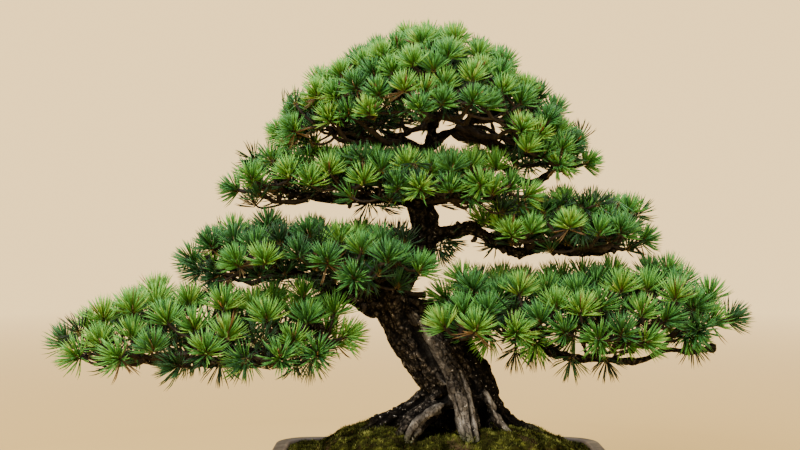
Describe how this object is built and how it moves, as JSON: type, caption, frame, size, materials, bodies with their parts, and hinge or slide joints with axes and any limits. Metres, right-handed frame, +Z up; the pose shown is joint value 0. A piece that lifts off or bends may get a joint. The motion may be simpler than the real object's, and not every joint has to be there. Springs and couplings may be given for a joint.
{
  "type": "japanese black pine bonsai",
  "caption": "Bonsai pine with a leaning trunk, layered pads of needle tufts, spreading surface roots and a mossy soil mound in a shallow unglazed clay pot.",
  "frame": {"origin": "on the ground under the middle of the whole tree and pot; the pot's own middle is 70 mm to the right of it", "axes": "+X to the right of someone who faces the tree's front, +Y away from them, +Z up"},
  "size_m": [1.1378, 0.38, 0.798],
  "materials": {
    "bark": "rough plated bark",
    "needles": "satin green needles",
    "mossy_soil": "matt moss over soil",
    "pot_clay": "unglazed fired clay, slightly rough",
    "mesh_plastic": "matt black"
  },
  "bodies": {
    "root": {"pot": "pot_clay", "drain_mesh_left": "mesh_plastic", "drain_mesh_right": "mesh_plastic", "soil": "mossy_soil", "trunk_and_branches": "bark", "needles_left_lower_01": "needles", "needles_left_lower_02": "needles", "needles_left_lower_03": "needles", "needles_left_lower_04": "needles", "needles_left_lower_05": "needles", "needles_left_lower_06": "needles", "needles_left_lower_07": "needles", "needles_left_lower_08": "needles", "needles_left_lower_09": "needles", "needles_left_lower_10": "needles", "needles_left_middle_01": "needles", "needles_left_middle_02": "needles", "needles_left_middle_03": "needles", "needles_left_middle_04": "needles", "needles_left_middle_05": "needles", "needles_left_middle_06": "needles", "needles_left_middle_07": "needles", "needles_left_middle_08": "needles", "needles_left_upper_01": "needles", "needles_left_upper_02": "needles", "needles_left_upper_03": "needles", "needles_left_upper_04": "needles", "needles_left_upper_05": "needles", "needles_left_upper_06": "needles", "needles_left_upper_07": "needles", "needles_left_upper_08": "needles", "needles_crown_01": "needles", "needles_crown_02": "needles", "needles_crown_03": "needles", "needles_crown_04": "needles", "needles_crown_05": "needles", "needles_crown_06": "needles", "needles_crown_07": "needles", "needles_crown_08": "needles", "needles_crown_09": "needles", "needles_crown_10": "needles", "needles_crown_11": "needles", "needles_crown_12": "needles", "needles_right_upper_01": "needles", "needles_right_upper_02": "needles", "needles_right_upper_03": "needles", "needles_right_upper_04": "needles", "needles_right_upper_05": "needles", "needles_right_lower_01": "needles", "needles_right_lower_02": "needles", "needles_right_lower_03": "needles", "needles_right_lower_04": "needles", "needles_right_lower_05": "needles", "needles_right_lower_06": "needles", "needles_right_lower_07": "needles", "needles_right_lower_08": "needles", "needles_right_lower_09": "needles", "needles_right_lower_10": "needles", "needles_right_lower_11": "needles", "needles_right_lower_12": "needles"}
  },
  "joints": []
}
